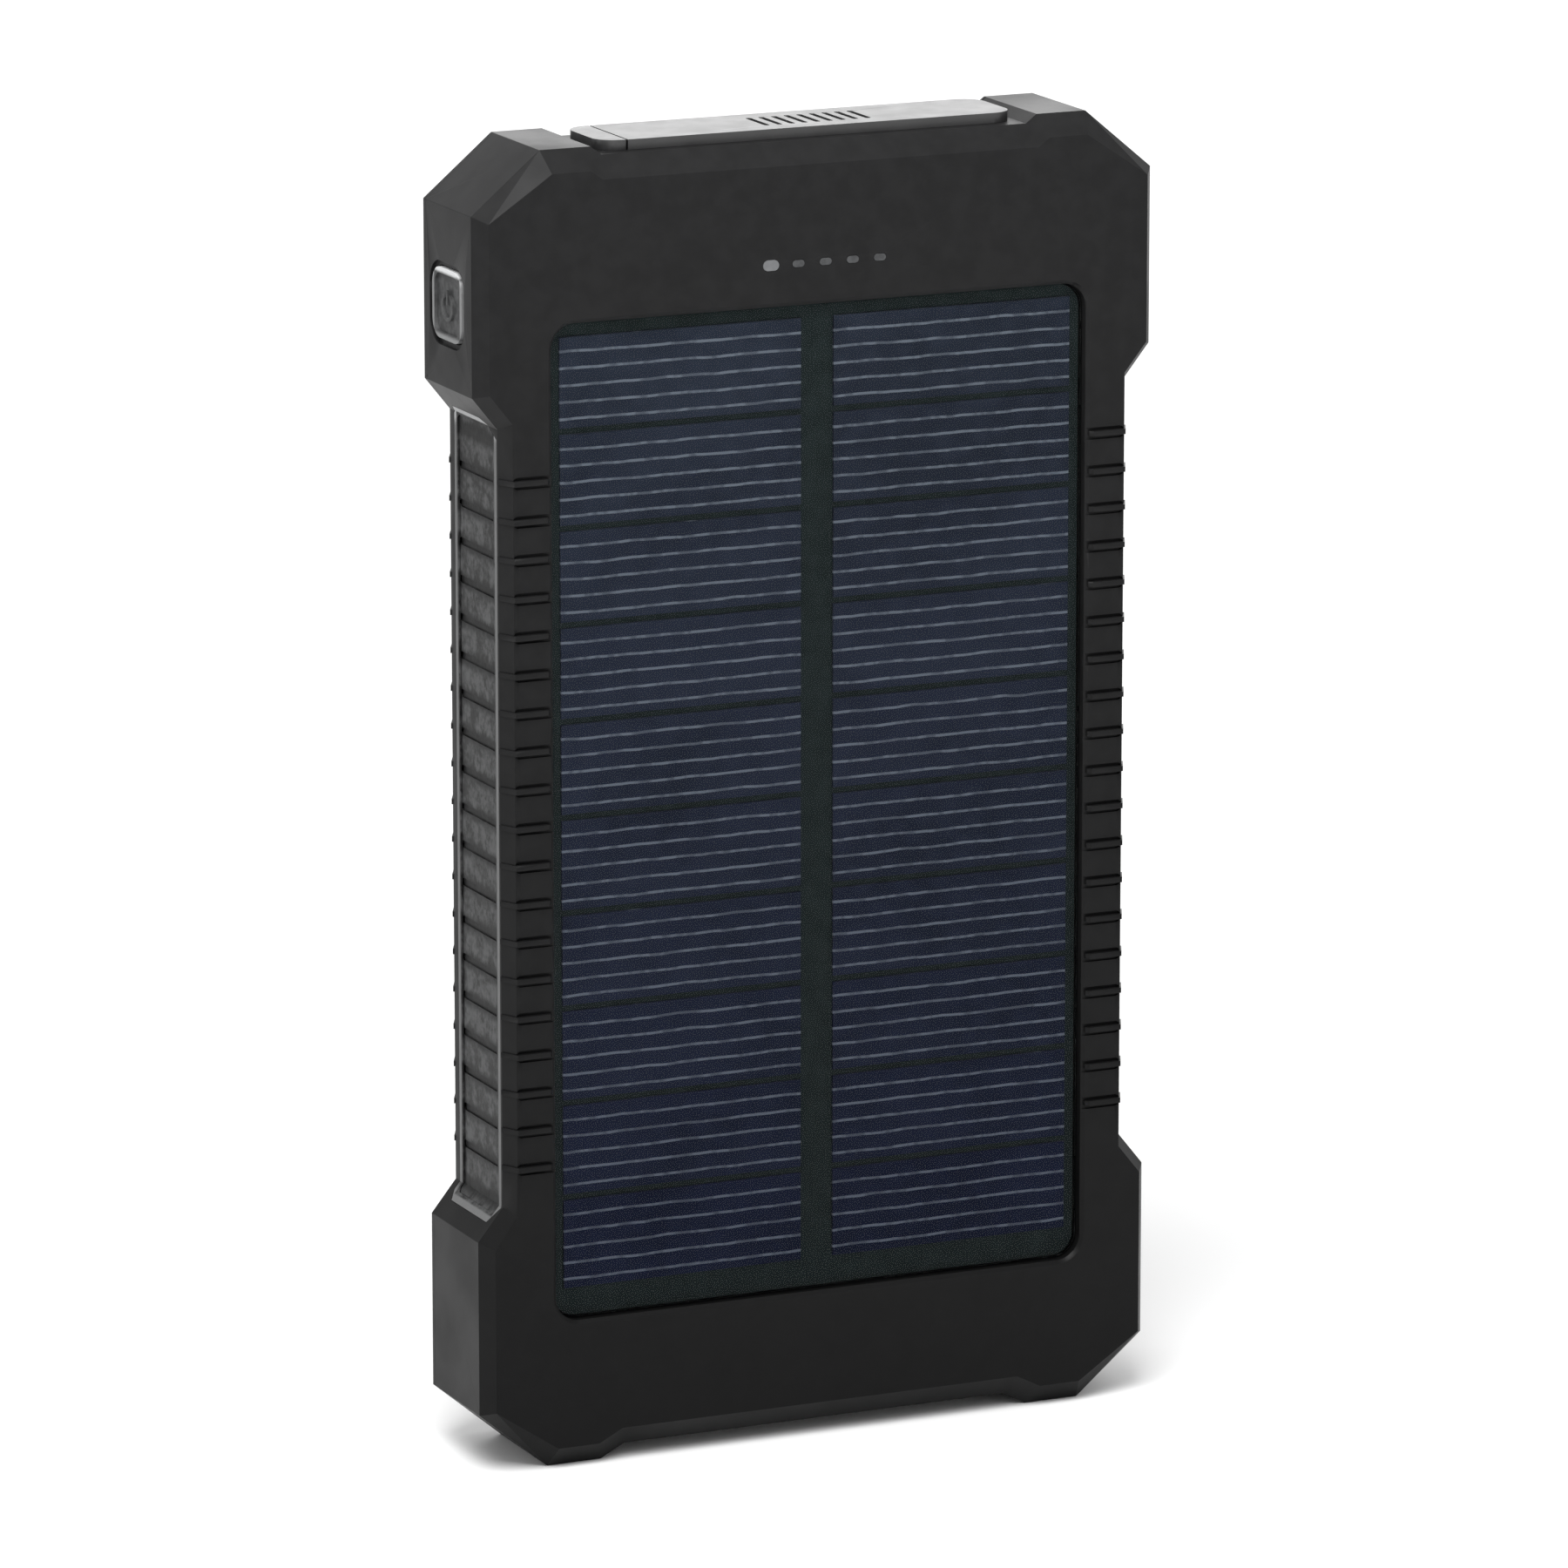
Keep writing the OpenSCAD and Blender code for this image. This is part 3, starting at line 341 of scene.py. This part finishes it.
def frosted():
    """The light pipe: frosted plastic with its first pip faintly lit."""
    p = Mat("light_pipe", Roughness=0.35, Specular_IOR_Level=0.5)
    speckle = p.spread(p.noise(0.6 * MM))
    p.set("Base Color", p.mix(speckle, (0.03, 0.031, 0.033), (0.05, 0.052, 0.054)))
    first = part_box("indicator_light_pipe")[0].x + FIRST_PIP
    glow = p.ramp(p.axis("X"), first, first + 0.1 * MM, 1.0, 0.0)
    p.set("Emission Color", (0.95, 0.97, 1.0))
    p.set("Emission Strength", p.math("MULTIPLY", glow, PIP_GLOW))
    p.bump(p.noise(0.3 * MM), 0.3, 0.02 * MM)
    return p.m


def board_green():
    """Solder mask over tracks."""
    p = Mat("solder_mask", Specular_IOR_Level=0.5)
    tracks = p.ramp(p.cells(1.6 * MM), 0.28, 0.34)
    p.set("Base Color", p.mix(tracks, (0.012, 0.085, 0.03), (0.008, 0.055, 0.02)))
    p.set("Roughness", p.spread(p.noise(3.0 * MM), 0.25, 0.4))
    p.bump(tracks, 0.4, 0.03 * MM)
    return p.m


# ---- CAD nodes: edges and finishes ----

SHELL_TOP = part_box("front_shell")[1].z
BUMPER_REACH = 25.0 * MM
SIDE_IN = 1.3 * MM
CORNER_IN = 9.4 * MM
END_IN = 2.4 * MM
TRIM_CUT = (3.2 * MM, 1.8 * MM)         # depth and height of a trim's cut upper corner
TRIM_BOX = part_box("side_trim_left")
TRIM_NEAR = 0.2 * MM
CUT_NEAR = 0.06

WELD_GAP = 0.002 * MM
BEVEL_ANGLE = math.radians(28.0)
OUTER_SEGMENTS = 4
FACE_GAP = 0.01 * MM


def on_outline(co):
    """True for the corners of the bumpers' sides and diagonals, and False at the notch and the feet."""
    from_end = min(co.z, SHELL_TOP - co.z)
    at_side = abs(co.x) > cad_box[1].x - SIDE_IN and from_end < BUMPER_REACH
    at_corner = abs(co.x) > cad_box[1].x - CORNER_IN and from_end < END_IN
    return at_side or at_corner


def on_trim_rim(co):
    """True for the corners of a side trim's outer outline, and False in its dished face."""
    low, high = TRIM_BOX
    from_end = min(co.z - low.z, high.z - co.z)
    from_side = min(co.y - low.y, high.y - co.y)
    cut = (high.z - co.z) / TRIM_CUT[1] + (co.y - low.y) / TRIM_CUT[0] - 1.0
    return from_end < TRIM_NEAR or from_side < TRIM_NEAR or abs(cut) < CUT_NEAR


def add_bevel(o, name, width, segments, group=None):
    """Rounds the edges sharper than BEVEL_ANGLE, or those of a vertex group."""
    soft = o.modifiers.new(name, "BEVEL")
    soft.width = width
    soft.segments = segments
    soft.angle_limit = BEVEL_ANGLE
    soft.use_clamp_overlap = True
    soft.limit_method = "VGROUP" if group else "ANGLE"
    if group:
        soft.vertex_group = group


def finish_node(name, material, bevel=0.0, segments=2, outer=0.0, pick=on_outline):
    """Gives a CAD node its material, and rounds its edges where bevel is over 0.

    outer over 0 is a larger rounding, for the corners that pick chooses."""
    o = nodes[name]
    o.data.materials.clear()
    o.data.materials.append(material)
    for poly in o.data.polygons:
        poly.material_index = 0
        poly.use_smooth = bevel > 0
    if bevel <= 0:
        return
    weld = o.modifiers.new("weld", "WELD")
    weld.merge_threshold = WELD_GAP
    if outer > 0:
        group = o.vertex_groups.new(name="outline")
        group.add([v.index for v in o.data.vertices if pick(v.co)], 1.0, "REPLACE")
        add_bevel(o, "outer_edges", outer, OUTER_SEGMENTS, "outline")
    add_bevel(o, "soft_edges", bevel, segments)
    normals = o.modifiers.new("normals", "WEIGHTED_NORMAL")
    normals.keep_sharp = True


def draw_in(name):
    """Shrinks a node by a hair, so that its face doesn't lie exactly in its neighbour's."""
    gap = nodes[name].modifiers.new("gap", "DISPLACE")
    gap.mid_level = 0.0
    gap.strength = -FACE_GAP


def finish_shells():
    # the shell's colour carries painted shade, darker toward its foot
    shell = plastic("shell_plastic", (0.0112, 0.0112, 0.0115), (0.0142, 0.0142, 0.0146), 0.44,
                    spec=0.12, painted_low_shade=0.86)
    finish_node("front_shell", shell, 0.1 * MM, outer=0.4 * MM)
    finish_node("rear_shell", shell, 0.1 * MM, outer=0.25 * MM)


RUBBER_PALE = (0.075, 0.076, 0.077)
TRIM_DARK = (0.009, 0.0091, 0.0092)
# trim rim colour: a painted highlight
TRIM_RIM_HIGHLIGHT = (0.12, 0.121, 0.122)
BUTTON_DARK = (0.03, 0.0305, 0.031)
# button rim colour: a painted highlight
BUTTON_RIM_HIGHLIGHT = (0.19, 0.192, 0.193)


def finish_rubber():
    for name in ("side_trim_left", "side_trim_right"):
        rubber = grey_rubber(f"rubber_{name}", name, 0.65 * MM, TRIM_DARK, RUBBER_PALE, TRIM_RIM_HIGHLIGHT, painted_shade_bands=True)
        finish_node(name, rubber, 0.08 * MM, outer=0.3 * MM, pick=on_trim_rim)
    rubber = grey_rubber("rubber_button", "power_button", 1.4 * MM, BUTTON_DARK, RUBBER_PALE, BUTTON_RIM_HIGHLIGHT)
    finish_node("power_button", rubber, 0.14 * MM, 3)
    cover = cover_rubber()
    finish_node("port_cover", cover, 0.16 * MM, 3)
    finish_node("cover_anchor", cover, 0.16 * MM, 3)


def finish_panel():
    # the board's colour carries painted shade, darker toward the foot
    board = plastic("panel_board", (0.019, 0.0255, 0.026), (0.025, 0.033, 0.034), 0.4,
                    spec=0.03, painted_low_shade=0.55)
    finish_node("solar_board", board)
    finish_node("solar_cover", laminate())
    finish_node("solar_tape", plastic("tape", (0.5, 0.49, 0.45), (0.6, 0.59, 0.55), 0.6))
    for side in ("left", "right"):
        for row in range(1, ROWS + 1):
            name = f"solar_cell_{side}_{row}"
            # painted shade: each row gets a darker copy of the cell colours the lower it sits
            height = (row - 1) / (ROWS - 1)
            shaded_tint = between(CELL_SHADED_LOW, CELL_LIT_TOP, height)
            shaded_line_color = between(LINE_SHADED_LOW, LINE_LIT_TOP, height)
            finish_node(name, silicon(f"silicon_{side}_{row}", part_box(name)[1].z, shaded_tint, shaded_line_color))
            draw_in(name)
    draw_in("solar_board")
    finish_node("indicator_light_pipe", frosted())


def finish_sockets():
    steel = metal("socket_steel", (0.62, 0.62, 0.64), 0.28)
    white = plastic("socket_white", (0.62, 0.62, 0.6), (0.7, 0.7, 0.68), 0.4)
    gold = metal("contact_gold", (0.8, 0.58, 0.24), 0.22)
    for side in ("left", "right"):
        finish_node(f"usb_a_shell_{side}", steel)
        finish_node(f"usb_a_tongue_{side}", white)
        finish_node(f"usb_a_contacts_{side}", gold)
    finish_node("micro_usb_shell", steel)
    finish_node("micro_usb_tongue", plastic("socket_black", (0.012, 0.012, 0.012), (0.02, 0.02, 0.02), 0.4))


def finish_inside():
    mask = board_green()
    red = plastic("lead_red", (0.35, 0.012, 0.012), (0.45, 0.02, 0.018), 0.3)
    black = plastic("lead_black", (0.01, 0.01, 0.01), (0.016, 0.016, 0.016), 0.3)
    looks = {
        "indicator_leds": plastic("led_package", (0.7, 0.66, 0.4), (0.8, 0.76, 0.5), 0.35),
        "shell_seal": plastic("seal_rubber", (0.012, 0.012, 0.013), (0.02, 0.02, 0.021), 0.6),
        "main_circuit_board": mask,
        "battery_protection_board": mask,
        "power_switch": plastic("switch_body", (0.02, 0.02, 0.022), (0.03, 0.03, 0.033), 0.4),
        "switch_plunger": plastic("switch_plunger", (0.4, 0.05, 0.03), (0.5, 0.07, 0.04), 0.4),
        "boost_inductor": plastic("ferrite", (0.02, 0.02, 0.022), (0.04, 0.04, 0.043), 0.5),
        "controller_chips": plastic("chip_epoxy", (0.01, 0.01, 0.011), (0.018, 0.018, 0.019), 0.5),
        "smoothing_capacitors": plastic("capacitor_ceramic", (0.24, 0.16, 0.09), (0.3, 0.2, 0.12), 0.5),
        "battery_pouch": metal("battery_foil", (0.6, 0.61, 0.63), 0.32),
        "battery_pads": plastic("pad_foam", (0.6, 0.6, 0.58), (0.7, 0.7, 0.68), 0.8),
        "battery_lead_red": red,
        "solar_lead_red": red,
        "battery_lead_black": black,
        "solar_lead_black": black,
        "board_screws": metal("screw_zinc", (0.55, 0.55, 0.57), 0.3),
    }
    for name, material in looks.items():
        finish_node(name, material)


finish_shells()
finish_rubber()
finish_panel()
finish_sockets()
finish_inside()
finish_node("case_screws", metal("screw_black", (0.06, 0.06, 0.063), 0.36), 0.06 * MM)


# ---- floor, light and camera ----

FLOOR_SIZE = 24.0
FLOOR_DROP = 0.05 * MM
WORLD_STRENGTH = 0.75
MIDDLE = (0.0, 0.0, 0.07)
UPPER = (0.0, 0.0, 0.12)
VIEW_AZIMUTH = math.radians(-24.34)
VIEW_ELEVATION = math.radians(13.07)
VIEW_DISTANCE = 0.9932
VIEW_TARGET = Vector((-0.00438, -0.00818, 0.06948))
LENS = 224.67
SENSOR = 36.0


def floor():
    place = (0.0, 0.0, cad_box[0].z - FLOOR_DROP)
    bpy.ops.mesh.primitive_plane_add(size=FLOOR_SIZE, location=place)
    o = bpy.context.object
    o.name = "floor"
    p = Mat("floor_paint", Roughness=0.9, Specular_IOR_Level=0.1)
    p.set("Base Color", p.mix(p.spread(p.noise(0.4, 2.0)), (0.87, 0.87, 0.87), (0.9, 0.9, 0.9)))
    o.data.materials.append(p.m)


def area_light(name, place, aim, size, size_y, power):
    data = bpy.data.lights.new(name, "AREA")
    data.shape = "RECTANGLE"
    data.size = size
    data.size_y = size_y
    data.energy = power
    o = bpy.data.objects.new(name, data)
    bpy.context.scene.collection.objects.link(o)
    o.location = place
    o.rotation_euler = (Vector(place) - Vector(aim)).to_track_quat("Z", "Y").to_euler()


def camera():
    data = bpy.data.cameras.new("camera")
    data.lens = LENS
    data.sensor_width = SENSOR
    data.clip_end = 50.0
    o = bpy.data.objects.new("camera", data)
    bpy.context.scene.collection.objects.link(o)
    back = Vector((math.sin(VIEW_AZIMUTH) * math.cos(VIEW_ELEVATION),
                   -math.cos(VIEW_AZIMUTH) * math.cos(VIEW_ELEVATION), math.sin(VIEW_ELEVATION)))
    o.location = VIEW_TARGET + VIEW_DISTANCE * back
    o.rotation_euler = back.to_track_quat("Z", "Y").to_euler()
    bpy.context.scene.camera = o


def world():
    w = bpy.data.worlds.new("studio")
    bpy.context.scene.world = w
    w.use_nodes = True
    background = w.node_tree.nodes["Background"]
    background.inputs["Color"].default_value = (1.0, 1.0, 1.0, 1.0)
    background.inputs["Strength"].default_value = WORLD_STRENGTH


floor()
camera()
world()
area_light("key", (-0.2, -0.27, 0.6), UPPER, 0.35, 0.35, 4.4)
area_light("left", (-1.0, 0.1, 0.5), MIDDLE, 0.5, 0.9, 0.3)
area_light("back", (0.5, 1.1, 0.5), MIDDLE, 0.9, 0.9, 5.0)
view = bpy.context.scene.view_settings
view.view_transform = "Standard"
view.look = "None"
